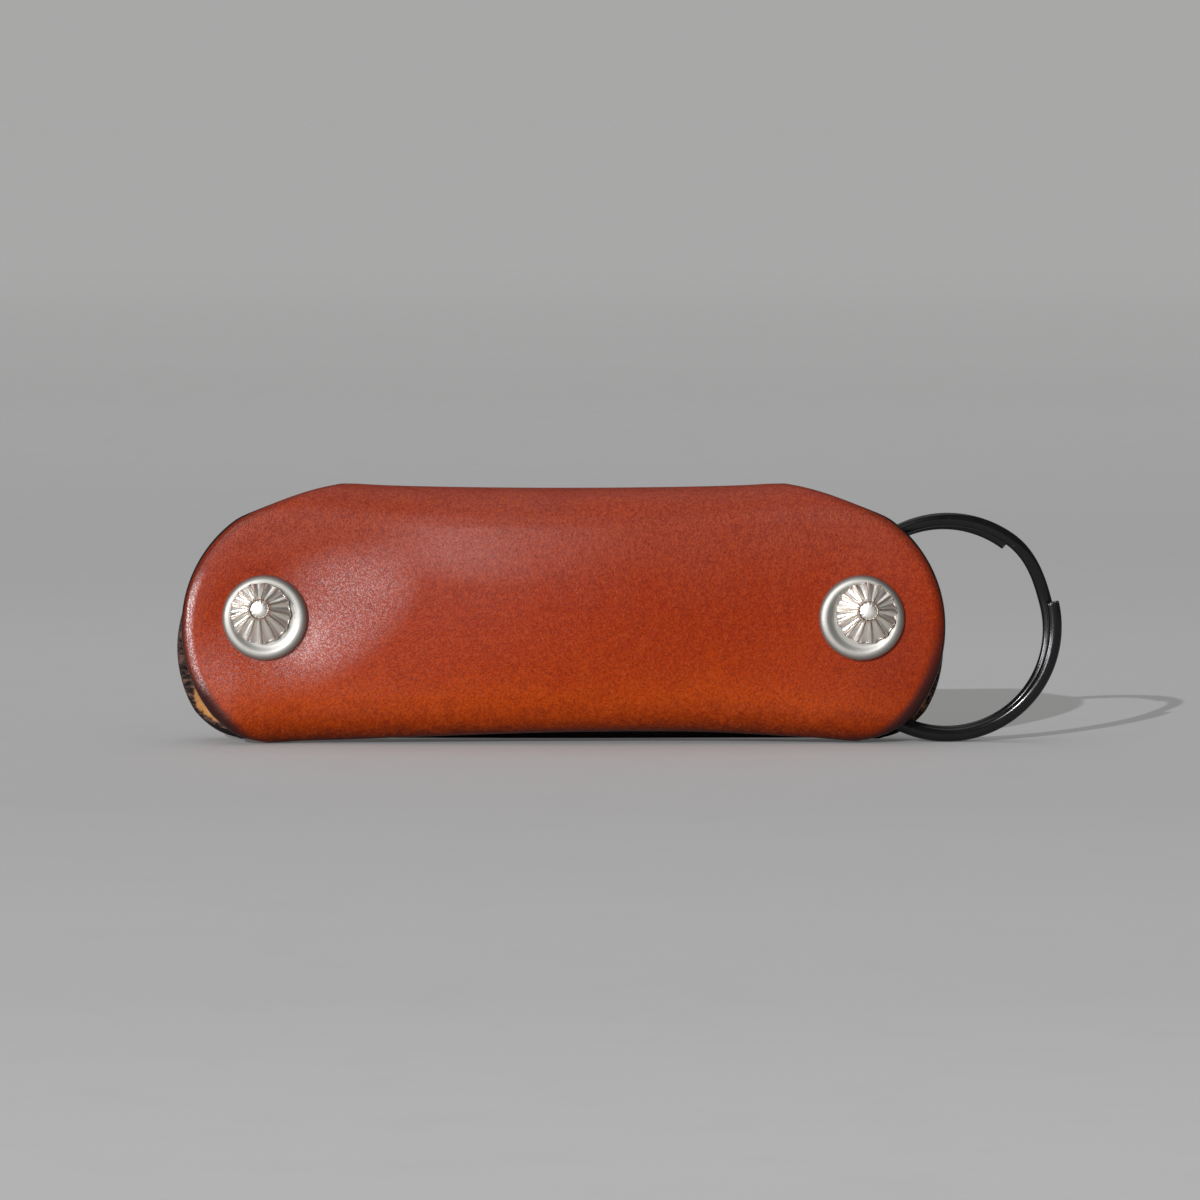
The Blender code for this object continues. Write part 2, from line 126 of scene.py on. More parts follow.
# %% Sums on sockets
class Amount:
    """A number that changes over a surface, held by one socket."""

    def __init__(self, network, socket):
        self.network, self.socket = network, socket

    def sum_with(self, operation, first, second):
        return self.network.node("ShaderNodeMath", {"operation": operation}, {0: first, 1: second})

    def __add__(self, other):
        return self.sum_with("ADD", self, other)

    def __sub__(self, other):
        return self.sum_with("SUBTRACT", self, other)

    def __rsub__(self, other):
        return self.sum_with("SUBTRACT", other, self)

    def __mul__(self, other):
        return self.sum_with("MULTIPLY", self, other)

    def __truediv__(self, other):
        return self.sum_with("DIVIDE", self, other)

    def __rtruediv__(self, other):
        return self.sum_with("DIVIDE", other, self)

    __radd__, __rmul__ = __add__, __mul__

    def between(self, low, high):
        """0 below low and 1 above high, eased in between. It falls where low is the higher."""
        if low > high:
            return 1 - self.between(high, low)
        return self.network.node("ShaderNodeMapRange", {"interpolation_type": "SMOOTHSTEP"},
                                 {0: self, 1: low, 2: high})


# %% Networks and finishes
class Network:
    """The nodes of a finish, or of the world."""

    def __init__(self, owner):
        owner.use_nodes = True
        self.tree = owner.node_tree

    def node(self, kind, settings=None, sockets=None, output=0):
        made = self.tree.nodes.new(kind)
        for setting, value in (settings or {}).items():
            if setting == "stops":
                self.set_stops(made.color_ramp, value)
            else:
                setattr(made, setting, value)
        for socket, value in (sockets or {}).items():
            self.connect(made.inputs[socket], value)
        return Amount(self, made.outputs[output])

    def set_stops(self, ramp, stops):
        while len(ramp.elements) < len(stops):
            ramp.elements.new(1.0)
        for element, (position, colour) in zip(ramp.elements, stops):
            element.position, element.color = position, (*colour, 1.0)

    def connect(self, target, value):
        if isinstance(value, Amount):
            self.tree.links.new(value.socket, target)
        elif target.type == "RGBA" and len(value) == 3:
            target.default_value = (*value, 1.0)
        else:
            target.default_value = value

    def show(self, output, shader):
        """Sends a shader to the output node of this name."""
        self.connect(self.tree.nodes[output].inputs["Surface"], shader)


class Finish(Network):
    """A material with one Principled shader."""

    def __init__(self, name, **constants):
        self.material = bpy.data.materials.new(name)
        super().__init__(self.material)
        self.shader = self.tree.nodes["Principled BSDF"]
        self.feed(**constants)

    def feed(self, **sockets):
        for socket, value in sockets.items():
            self.connect(self.shader.inputs[socket.replace("_", " ")], value)

    def place(self):
        """The point on the piece, in metres."""
        return self.node("ShaderNodeTexCoord", output=3)

    def part_of(self, vector, axis):
        return self.node("ShaderNodeSeparateXYZ", sockets={0: vector}, output=axis)

    def marked(self, name):
        """A number that the mesh carries at each of its points."""
        return self.node("ShaderNodeAttribute", {"attribute_name": name}, output=2)

    def noise(self, size, detail=3.0, roughness=0.5, stretch=None):
        """Even noise from 0 to 1 whose blots are about this many millimetres across."""
        at = self.place()
        if stretch:
            at = self.node("ShaderNodeVectorMath", {"operation": "MULTIPLY"}, {0: at, 1: stretch})
        sockets = {"Vector": at, "Scale": 1 / (size * MM), "Detail": detail, "Roughness": roughness}
        return self.node("ShaderNodeTexNoise", {"normalize": True}, sockets)

    def cells(self, size):
        """Distance from the middle of cells of this many millimetres."""
        return self.node("ShaderNodeTexVoronoi", None, {"Vector": self.place(), "Scale": 1 / (size * MM)})

    def mix(self, share, first, second):
        return self.node("ShaderNodeMix", {"data_type": "RGBA"}, {0: share, 6: first, 7: second}, output=2)

    def layered(self, base, layers):
        """Lays colours over a base, each with its own share."""
        for share, colour in layers:
            base = self.mix(share, base, colour)
        return base

    def bump(self, height, depth):
        """Height from 0 to 1 stands this many millimetres proud."""
        return self.node("ShaderNodeBump", None, {"Height": height, "Distance": depth * MM, "Strength": 1.0})


# %% [markdown]
# ## Helpers for meshes
#
# Most metal pieces are turned: a profile of radius and place along the axis is spun round the
# axis. A thread is the same thing with a radius that rises and falls along a helix, so the
# profile may carry a third number, the depth of the thread there. Rows of points are joined to
# walls, and what a punch or a mill takes out is cut away with Boolean modifiers.

# %% From points to pieces
sharp_angle = math.radians(40)


def finish_piece(name, mesh, finish, body, slot, *nodes):
    """Puts a finished mesh in the scene, ties it to its body and hides the solids it stands for. The slot is
    not used.
    """
    mesh.shade_smooth()
    mesh.set_sharp_from_angle(angle=sharp_angle)
    mesh.materials.append(finish.material)
    piece = put(name, mesh)
    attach(piece, body)
    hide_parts(*nodes)
    print(name, "has", len(mesh.polygons), "faces")


def mesh_of(name, points, faces, marks=None):
    """A mesh from points in metres, all faces out, with one number per point for each mark."""
    mesh = bpy.data.meshes.new(name)
    mesh.from_pydata([tuple(point) for point in points], [], faces)
    for mark, values in (marks or {}).items():
        layer = mesh.attributes.new(mark, "FLOAT", "POINT")
        layer.data.foreach_set("value", np.asarray(values, np.float32))
    work = bmesh.new()
    work.from_mesh(mesh)
    bmesh.ops.recalc_face_normals(work, faces=work.faces)
    work.to_mesh(mesh)
    work.free()
    return mesh


def bridge(first, second, closed=True):
    """Quads between two rows of point numbers."""
    count = len(first) if closed else len(first) - 1
    return [(first[i], first[(i + 1) % len(first)], second[(i + 1) % len(second)], second[i])
            for i in range(count)]


def walls(rows):
    """Quads between each row of point numbers and the next."""
    return [quad for first, second in zip(rows, rows[1:]) for quad in bridge(first, second)]


def next_row(points, count):
    """The numbers of the next row of points."""
    return list(range(len(points), len(points) + count))


def eased(value):
    """0 below 0 and 1 above 1, with a soft start and a soft end."""
    value = np.clip(value, 0, 1)
    return value * value * (3 - 2 * value)


def cut_away(mesh, cutters):
    """What is left of a mesh when others are cut out of it."""
    body = put("cut_body", mesh)
    tools = [put("cutter", cutter) for cutter in cutters]
    for tool in tools:
        cut = body.modifiers.new("cut", "BOOLEAN")
        cut.operation, cut.solver, cut.object = "DIFFERENCE", "EXACT", tool
    graph = bpy.context.evaluated_depsgraph_get()
    left_over = bpy.data.meshes.new_from_object(body.evaluated_get(graph))
    for used in (body, *tools):
        bpy.data.objects.remove(used)
    return left_over


# %% Turned pieces
thread_pitch = 0.4


def turned(name, profile, centre, steps=72):
    """Spins (radius, place along Y, thread depth) round an axis. A radius of 0 closes an end."""
    angles = np.arange(steps) * math.tau / steps
    points, rows = [], []
    for entry in profile:
        radius, along, depth = (*entry, 0.0)[:3]
        if radius == 0:
            rows.append([len(points)] * steps)
            points.append(centre + Vector((0, along, 0)) * MM)
            continue
        rows.append(next_row(points, steps))
        for angle in angles:
            phase = (along / thread_pitch - angle / math.tau) % 1.0
            reach = radius + depth * (1 - abs(2 * phase - 1))
            points.append(centre + Vector((reach * math.sin(angle), along, reach * math.cos(angle))) * MM)
    if profile[0][0] > 0:
        rows.append(rows[0])
    faces = [list(dict.fromkeys(quad)) for quad in walls(rows)]
    return mesh_of(name, points, [face for face in faces if len(face) > 2])


def rounded(corner, start, turn, radius, steps):
    """Points of a rounded corner: its sharp corner, and the two directions it joins."""
    (x, y), (ax, ay), (bx, by) = corner, start, turn
    points = []
    for step in range(steps + 1):
        angle = math.pi / 2 * step / steps
        back, on = 1 - math.sin(angle), 1 - math.cos(angle)
        points.append((x - ax * radius * back + bx * radius * on, y - ay * radius * back + by * radius * on))
    return points


# %% [markdown]
# ## The leather cover
#
# On the real object a flat hide, cut with two round ends and four slants, is wetted and folded
# over a former, so the front and the rear are one piece. The side bellies out between the posts
# and the lower lips are rolled inwards. It could be a sheet with a Solidify modifier and a soft
# simulation, but the shape is held by posts and is known everywhere, so it is bent by a rule:
# each column of the hide follows a fold, a side and a lip, which are three arcs.

# %% Sizes of the hide
leather_thickness, panel_gap, cover_height = 2.0, 6.0, 36.3
fold_half_length, fold_corner_round, upper_end_radius = 29.8, 0.6, 17.8
lip_roll_radius, lip_degrees_at_posts, lip_degrees_in_middle = 4.5, 60.0, 76.0
fold_swell, belly_degrees = 1.3, 13.0
crest_dip, crest_dip_round_share, crest_flare_power = 0.85, 0.6, 10
lip_clearance_at_posts = 0.48
arch_height, arch_peak, arch_left_reach, arch_right_reach, rear_arch = 1.5, 15.0, 72.0, 37.0, 0.12
corner_droop, corner_reach = 0.30, 6.5
rear_panel_shift = 0.5
flat_seat_radius = 6.32
flat_round_post = half_spacing - flat_seat_radius
post_outer_face = panel_gap / 2 + leather_thickness


class Panel:
    """The outline of one panel's end: its half length, its widest place and its lower ellipse."""

    def __init__(self, half_length, widest, end_length, end_overrun):
        self.half_length, self.widest = half_length, widest
        self.end_length, self.end_overrun = end_length, end_overrun
        across = half_length - upper_end_radius - fold_half_length
        distance = math.hypot(across, widest)
        direction = math.atan2(widest, across) - math.asin(upper_end_radius / distance)
        slant = math.sqrt(distance ** 2 - upper_end_radius ** 2)
        self.touch = slant * math.sin(direction)
        self.slope = math.cos(direction) / math.sin(direction)

    def half_at(self, down):
        """Half the hide's length this far from the crest."""
        if down >= self.widest:
            share = (down - self.widest) / (panel_length - self.widest + self.end_overrun)
            return self.half_length - self.end_length * (1 - math.sqrt(1 - share ** 2))
        if down >= self.touch:
            rise = self.widest - down
            return self.half_length - upper_end_radius + math.sqrt(upper_end_radius ** 2 - rise ** 2)
        from_crest = math.hypot(down, fold_corner_round * (1 - down / self.touch))
        return fold_half_length + self.slope * from_crest


front_panel = Panel(half_length=52.95, widest=22.6, end_length=15.8, end_overrun=0.71)
rear_panel = Panel(half_length=53.5, widest=26.0, end_length=10.6, end_overrun=0.31)

# %% [markdown]
# ## The bend of one column
#
# Three numbers change along the cover: how far it swells between the posts, how deep the crest
# dips and how high the lip arches off the table. Fold, side and lip then follow as arcs that meet
# without a kink, and the lengths beside the posts say how the flat hide is shared out between
# them. The corners of the lower lips droop until they touch the table.

# %% The bend of one column
def swell_at(x):
    return 0.5 + 0.5 * np.cos(np.pi * np.minimum(np.abs(x) / flat_round_post, 1))


def crest_at(x):
    share = np.minimum(np.abs(x) / front_panel.half_at(0), 1)
    lift = crest_dip_round_share * share ** 2 + (1 - crest_dip_round_share) * share ** crest_flare_power
    return cover_height - crest_dip + crest_dip * lift


def arch_at(x, panel):
    """How high a lip stands off the table. The front lip arches, and the rear one is almost flat."""
    if panel is rear_panel:
        return np.full_like(x, rear_arch)
    reach = np.where(x > arch_peak, arch_right_reach, arch_left_reach)
    return arch_height * (0.5 + 0.5 * np.cos(np.pi * np.minimum(np.abs(x - arch_peak) / reach, 1)))


def arcs_at(x, arch):
    """Curvature and length of the fold, the side and the lip, for each place along the cover."""
    swell = swell_at(x)
    belly = np.radians(belly_degrees) * swell
    lip_turn = np.radians(lip_degrees_at_posts + (lip_degrees_in_middle - lip_degrees_at_posts) * swell)
    fold_radius = post_outer_face + fold_swell * swell
    side_drop = crest_at(x) - arch - fold_radius * (1 - np.sin(belly))
    side_drop = side_drop - lip_roll_radius * (np.sin(lip_turn) - np.sin(belly))
    side_length = side_drop / np.sinc(belly / np.pi)
    return [(1 / fold_radius, fold_radius * (np.pi / 2 - belly)), (2 * belly / side_length, side_length),
            (1 / lip_roll_radius + 0 * x, lip_roll_radius * (lip_turn - belly))]


arcs_beside_posts = arcs_at(np.array([half_spacing]), lip_clearance_at_posts)
flat_lengths = [float(length[0]) for curvature, length in arcs_beside_posts]
panel_length = sum(flat_lengths)
print("the hide is", round(2 * panel_length, 1), "mm round, lip to lip")


def bend(x, down, depth, panel):
    """Where the hide's points go: out from the middle and up, for lengths down one panel."""
    out, up = np.zeros_like(x), crest_at(x)
    angle, left, share_of_lip = np.zeros_like(x), down.copy(), 0
    for (curvature, length), nominal in zip(arcs_at(x, arch_at(x, panel)), flat_lengths):
        share = np.clip(left / nominal, 0, 1)
        half_turn = curvature * length * share / 2
        chord = length * share * np.sinc(half_turn / np.pi)
        out, up = out + chord * np.cos(angle + half_turn), up - chord * np.sin(angle + half_turn)
        angle, left, share_of_lip = angle + 2 * half_turn, left - nominal, share
    inboard = np.maximum(panel.half_at(panel_length) - np.abs(x), 0)
    sag = corner_droop * np.maximum(1 - inboard / corner_reach, 0) ** 2 * share_of_lip
    return out - depth * np.sin(angle), up - depth * np.cos(angle) - sag


# %% [markdown]
# ## The burnished edge and the pressed seats
#
# A cut edge of bridle leather is bevelled, dyed and rubbed until it is round and glossy. The
# grain side curves back over more than a millimetre, the flesh side over less. For that the
# distance of every point from the border of the flat hide is measured first. It shapes the edge,
# and it is also stored on the mesh, because the dye and the shine follow it. Round each cup
# washer the screw has pulled the metal into the leather, so the surface rises in a low ring.

# %% The grid of the hide
edge_bulge, grain_bevel, flesh_bevel = 0.16, 0.9, 0.5
sharp_bevel, round_bevel, lip_bevel = 0.5, 1.15, 0.45
half_thickness = leather_thickness / 2
seat_gap = 0.1
roll_back, roll_back_width = 0.22, 3.0
left_seat_rise, right_seat_rise, middle_sink = 0.95, 0.25, 0.25
seat_radius, seat_width, seat_fade, seat_fade_power = 5.95, 4.9, 7.0, 0.8
seat_rise_from, seat_rise_to, wave_share = 4.0, 19.0, 0.09
wave_lengths, wave_starts, ripple_share, ripple_lengths = (9.1, 6.3), (1.3, 0.4), 0.6, (4.7, 5.9)
corner_flare, corner_flare_limit, corner_flare_power = 1.6, 1.6, 1.5
corner_pull, corner_pull_height, corner_pull_softness = 0.4, 3.5, 3.0
washer_offset = (0.58, -0.75)
column_reach, closing_power, outline_count = 52.5, 1.4, 900


def spaced(reach, step, fine_steps, fine_reach):
    """Places from 0 to reach, close together over the last stretch."""
    coarse = np.linspace(0, reach - fine_reach, int(round((reach - fine_reach) / step)) + 1)
    fine = reach - fine_reach * (1 - np.linspace(0, 1, fine_steps + 1)[1:]) ** closing_power
    return np.concatenate([coarse, fine])


half_shares = spaced(column_reach, step=0.95, fine_steps=12, fine_reach=2.8) / column_reach
shares = np.concatenate([-half_shares[:0:-1], half_shares])
downs = spaced(panel_length, step=0.5, fine_steps=10, fine_reach=2.4)
rows_of_hide = [(-down, rear_panel) for down in downs[:0:-1]] + [(down, front_panel) for down in downs]
print("the hide's grid has", len(rows_of_hide), "rows of", len(shares), "points")

# %% How far each point is from the border
outline = np.array([((front_panel if down >= 0 else rear_panel).half_at(abs(down)), down)
                    for down in np.linspace(-panel_length, panel_length, outline_count)])


def distance_to_border(x, down):
    """How far points of the flat hide are from its cut edge."""
    start, step = outline[:-1], outline[1:] - outline[:-1]
    away_x, away_down = np.abs(x)[:, None] - start[:, 0], down[:, None] - start[:, 1]
    share = np.clip((away_x * step[:, 0] + away_down * step[:, 1]) / (step ** 2).sum(axis=1), 0, 1)
    gap_x, gap_down = away_x - share * step[:, 0], away_down - share * step[:, 1]
    return np.sqrt((gap_x ** 2 + gap_down ** 2).min(axis=1)), panel_length - np.abs(down)


def bevel_depth(distance, bevel):
    """How far a bevelled face has dropped, at this distance from the border."""
    share = np.clip((bevel - distance) / (bevel + edge_bulge), 0, 1)
    return half_thickness * (1 - np.sqrt(1 - share ** 2))


def seat_rise(x, up, distance, front):
    """How the hide stands up round each pressed seat, and the slow waves of a real hide."""
    towards_left = np.clip(0.5 - x / (2 * half_spacing), 0, 1)
    rise = right_seat_rise + (left_seat_rise - right_seat_rise) * towards_left
    for sign in (-1, 1):
        across = x - sign * (half_spacing - (washer_offset[0] if front else 0))
        radius = np.hypot(across, up - cover_middle.z / MM - (washer_offset[1] if front else 0))
        rise *= 1 - np.exp(-np.maximum(radius - seat_radius, 0) / seat_width)
    rise *= np.clip(distance / seat_fade, 0, 1) ** seat_fade_power
    wave = np.sin(x / wave_lengths[0] + wave_starts[0]) * np.sin(up / wave_lengths[1] + wave_starts[1])
    wave += ripple_share * np.sin(x / ripple_lengths[0] + up / ripple_lengths[1])
    return rise + wave_share * wave * rise - middle_sink * swell_at(x)


def corner_turn(x, down, out, panel):
    """Turns the lower left corner of the front panel towards the viewer, and draws it out."""
    flare = np.clip(1 - (x + panel.half_at(panel_length)) / corner_reach, 0, corner_flare_limit)
    flare = flare ** corner_flare_power
    pulled = np.clip((down - panel_length + corner_pull_height) / corner_pull_softness, 0, 1)
    out = out + corner_flare * flare * np.clip((down - flat_lengths[0]) / panel_length, 0, 1) ** 3
    return x - corner_pull * flare * pulled, out


def hide_points(grain_side):
    """The points of one face of the hide, with their distance from the border."""
    points, distances = [], []
    for row, panel in rows_of_hide:
        down, is_front = abs(row), row > 0
        x = shares * panel.half_at(down)
        column = np.full_like(x, down)
        from_end, from_lip = distance_to_border(x, np.full_like(x, row))
        distance = np.minimum(from_end, from_lip)
        roll = roll_back * np.clip(1 - from_end / roll_back_width, 0, 1) ** 2
        if grain_side:
            roundness = np.clip((down - panel.touch) / (panel.widest - panel.touch), 0, 1)
            end_bevel = sharp_bevel + (round_bevel - sharp_bevel) * roundness
            depth = np.maximum(bevel_depth(from_end, end_bevel), bevel_depth(from_lip, lip_bevel)) + roll
            up = bend(x, column, depth, panel)[1]
            depth = depth - seat_gap * (down > flat_lengths[0])
            if is_front:
                rise = seat_rise(x, up, distance, True)
                depth = depth - rise * eased((down - seat_rise_from) / (seat_rise_to - seat_rise_from))
        else:
            depth = leather_thickness - bevel_depth(distance, flesh_bevel) + roll
        out, up = bend(x, column, depth, panel)
        if is_front:
            x, out = corner_turn(x, down, out, panel)
        shift = rear_panel_shift * min(down / rear_panel.widest, 1) if row < 0 else 0
        side = out if row < 0 else -out
        points.append(np.stack([x - shift, side, np.maximum(up, 0)], axis=1))
        distances.append(distance)
    return np.array(points), np.array(distances)


# %% [markdown]
# ## Two faces and a round edge
#
# The two faces of the hide are grids of points, and the edge between them is rubbed round by the
# burnisher. It could be left to a Bevel modifier, but the grain side and the flesh side have
# bevels of their own, so rings of points are laid round the border, from one face to the other.
# The holes for the posts are punched last, as on the bench.

# %% Build the cover
edge_ring_count = 3
hole_reach, hole_steps = post_outer_face + 2, 48
post_hole_radius = 1.85


def border_of(row_count, column_count):
    """Rows and columns of the grid's border, walked once round."""
    last_row, last_column = row_count - 1, column_count - 1
    border = [(0, c) for c in range(last_column)] + [(r, last_column) for r in range(last_row)]
    border += [(last_row, c) for c in range(last_column, 0, -1)] + [(r, 0) for r in range(last_row, 0, -1)]
    return tuple(np.array(border).T)


def edge_rings(grain, flesh, border):
    """Rings of points round the cut edge, from the grain side on, with the angle of each."""
    inner = tuple(index.clip(1, size - 2) for index, size in zip(border, grain.shape))
    centre, height = (grain[border] + flesh[border]) / 2, (grain[border] - flesh[border]) / 2
    along = np.roll(centre, -1, axis=0) - np.roll(centre, 1, axis=0)
    outward = np.cross(along, height)
    outward /= np.linalg.norm(outward, axis=1)[:, None]
    outward *= np.sign(np.sum(outward * (centre - (grain[inner] + flesh[inner]) / 2), axis=1))[:, None]
    parts = np.linspace(0, 1, edge_ring_count + 1)
    for bevel, turns in ((grain_bevel, parts[-2::-1]), (flesh_bevel, -parts[1:-1])):
        full_turn = math.acos(bevel / (bevel + edge_bulge))
        for turn in turns * full_turn:
            away = (bevel + edge_bulge) * math.cos(turn) - bevel
            ring = centre + height * math.sin(turn) / math.sin(full_turn) + outward * away
            ring[:, 2] = np.maximum(ring[:, 2], 0)
            yield turn, ring


def build_cover():
    grain, distance = hide_points(True)
    flesh, _ = hide_points(False)
    count = distance.size
    number = np.arange(count).reshape(distance.shape)
    down = np.abs([[row] * len(shares) for row, panel in rows_of_hide]) / panel_length
    border = border_of(*distance.shape)
    points, rings = [grain.reshape(-1, 3), flesh.reshape(-1, 3)], [number[border].tolist()]
    marks = {"edge_distance": [distance.ravel()] * 2, "flesh_side": [np.zeros(count), np.ones(count)],
             "down_share": [down.ravel()] * 2}
    for turn, ring in edge_rings(grain, flesh, border):
        start = sum(len(block) for block in points)
        rings.append(list(range(start, start + len(ring))))
        points.append(ring)
        marks["edge_distance"].append(np.zeros(len(ring)))
        marks["flesh_side"].append(np.full(len(ring), 0.0 if turn > 0 else 0.5))
        marks["down_share"].append(down[border])
    rings.append((number[border] + count).tolist())
    faces = walls(rings)
    for face_rows in (number.tolist(), (number + count).tolist()):
        for first, second in zip(face_rows, face_rows[1:]):
            faces += bridge(first, second, closed=False)
    points = np.concatenate(points) * MM + np.array([cover_middle.x, gap_middle, 0])
    return mesh_of("folded_hide", points, faces, {name: np.concatenate(mark) for name, mark in marks.items()})


def post_punch(place):
    profile = [(0, -hole_reach), (post_hole_radius, -hole_reach),
               (post_hole_radius, hole_reach), (0, hole_reach)]
    return turned("punch", profile, place, hole_steps)


hide = cut_away(build_cover(), [post_punch(place) for place in post_places.values()])
print("the hide has", len(hide.polygons), "faces, and stands out",
      round(max(abs(point.co.y - gap_middle) for point in hide.vertices) / MM, 2), "mm from the middle")

# %% [markdown]
# ## The look of waxed bridle leather
#
# The grain side is dyed through in a red brown, brick red towards the fold and orange towards the lower edge,
# and nearly black on the rolled-under lip, which is painted shade. A flat colour would look like plastic, so
# several sizes of variation are laid over each other: clouds of seven millimetres, mottling of one, grit and
# pores of a third and a fifth, and a few pale specks. Everything goes by what the mesh carries (distance from
# the edge, flesh side, share of the way down) and by the place.

# %% What the leather goes by
leather = Finish("bridle_leather", Specular_IOR_Level=0.075, Coat_Roughness=0.33, Coat_IOR=1.75)
edge, flesh, down = (leather.marked(name) for name in ("edge_distance", "flesh_side", "down_share"))
clouds = leather.noise(7.0, 4.0, 0.55)
mottle = leather.noise(1.1, 4.0, 0.6)
grit = leather.noise(0.36, 2.0, 0.6)
pores = leather.noise(0.22, 2.0, 0.55)
sparkle = leather.noise(0.20, 1.0, 0.5).between(0.46, 0.64)
across, height = (leather.part_of(leather.place(), axis) / MM for axis in (0, 2))
along, height = across - post_places["left"].x / MM, height - post_places["left"].z / MM
on_flesh = flesh.between(0.55, 0.75)

# %% [markdown]
# ## Where the leather shines
#
# Wax and hands polish the front beside the left cap, in an oval that leans away from it further up, and more
# weakly below the fold. The burnished border on the left catches the light too. A lower Roughness would make
# one broad smear. The real sheen breaks up into sparkling grains, so it is a coat whose weight follows the
# ovals and a very fine noise. The same oval and border also paint pale glints into the colour further on,
# which is a painted highlight.

# %% Polished places
def oval(middle, half_size, lean, border):
    """1 in the middle of an oval patch of the front, 0 outside it."""
    up = (height - middle[1]) / half_size[1]
    out = (along - middle[0]) / half_size[0] - up * lean
    return (out * out + up * up).between(border, 0.0)


# These patches set the coat, and further on they also paint pale glints into the colour: a painted highlight.
polish_and_glint_patch = oval(middle=(6.5, -1.5), half_size=(12.0, 10.0), lean=0.6, border=1.5)
upper_haze = oval(middle=(34.0, 10.0), half_size=(18.0, 6.0), lean=0.0, border=1.3)
left_border_gloss_and_glints = edge.between(1.7, 1.0) * edge.between(0.2, 0.6) * along.between(0, -3)
left_border_gloss_and_glints = left_border_gloss_and_glints * down.between(0.35, 0.5) * down.between(0.82, 0.76)
polished = polish_and_glint_patch * 0.68 + upper_haze * 0.3 + left_border_gloss_and_glints
leather.feed(Coat_Weight=(0.012 + polished * (0.3 + sparkle * 0.7)) * (1 - on_flesh))
print("sheen masks take", len(leather.tree.nodes), "nodes")

# %% [markdown]
# ## The grain side's colour
#
# A colour ramp gives the colour from the fold to the lower edge: brick red, red brown, orange, then nearly
# black, which is painted shade on the lip where it rolls under. The layers over it go from the broad to the
# fine. The right end is darkened as painted shade, and pale glints in the polished patch and on the left
# border are a painted highlight. They end with the dye line of the edge and the dark stroke that the
# burnisher leaves beside it, darker along the lower ends, where it is partly painted shade. They could be
# painted on a texture, but noise costs no image and shows no repeat.

# %% Dye, mottling, painted shade and glints, and the burnished edge
# The last three stops darken to nearly black: painted shade on the lip where it rolls under.
dye_and_lip_shade_stops = [(0.0, (0.265, 0.038, 0.019)), (0.10, (0.283, 0.046, 0.025)), (0.22, (0.328, 0.047, 0.020)),
             (0.36, (0.335, 0.039, 0.012)), (0.50, (0.345, 0.031, 0.004)), (0.72, (0.392, 0.038, 0.002)),
             (0.84, (0.455, 0.054, 0.002)), (0.92, (0.300, 0.034, 0.001)), (0.965, (0.125, 0.017, 0.003)),
             (1.0, (0.042, 0.009, 0.004))]
edge_dye = (0.016, 0.011, 0.011)
lowness = down + (clouds - 0.5) * 0.34 * down.between(0.96, 0.75) + (mottle - 0.5) * 0.07
# Painted shade: the right end, which turns away from the light, is darkened.
shaded_right_end = along.between(72, 90) * down.between(0.35, 0.75)
# Along the border of the lower ends: partly the burnisher's dark stroke, partly painted shade on the rim that
# turns away from the light.
burnished_and_shaded_lower_ends = down.between(0.70, 0.82) * along.between(0, -4) + down.between(0.5, 0.8) * along.between(76, 90)
specks = leather.cells(2.6).between(0.055, 0.03) * leather.noise(4.0, 1.0).between(0.55, 0.62)
ragged_edge = edge + (mottle - 0.5) * 0.25
grain = leather.layered(leather.node("ShaderNodeValToRGB", {"stops": dye_and_lip_shade_stops}, {0: lowness}), [
    (mottle.between(0.48, 0.68) * 0.24, (0.180, 0.014, 0.003)),
    (mottle.between(0.50, 0.34) * 0.18, (0.450, 0.068, 0.006)),
    (pores.between(0.50, 0.66) * 0.55, (0.160, 0.012, 0.004)),
    (grit.between(0.50, 0.38) * 0.30, (0.150, 0.012, 0.004)),
    (grit.between(0.52, 0.66) * 0.22, (0.520, 0.100, 0.030)),
    # painted shade on the right end
    (shaded_right_end * 0.36, (0.150, 0.008, 0.001)),
    # painted highlight: pale glints in the polished patch and on the left border
    ((polish_and_glint_patch * 0.16 + left_border_gloss_and_glints * 0.45) * sparkle, (0.70, 0.50, 0.50)),
    (specks * 0.55, (0.52, 0.19, 0.10)),
    (ragged_edge.between(1.5, 0.2) * 0.60, (0.075, 0.012, 0.007)),
    # the lower ends' border: the burnisher's stroke and painted shade
    (burnished_and_shaded_lower_ends * ragged_edge.between(2.2, 0.9) * 0.9, (0.030, 0.012, 0.012)),
    (ragged_edge.between(0.17, 0.03), edge_dye)])

# %% [markdown]
# ## The flesh side, the relief and the shine
#
# The flesh side is tan and fibrous, and the black dye of the edge has run in over its border
# unevenly, except along the lower ends, where it stayed thin. Pores dent the grain side and
# fibres stand up on the flesh side. Both are too small for the mesh, so they are a bump.

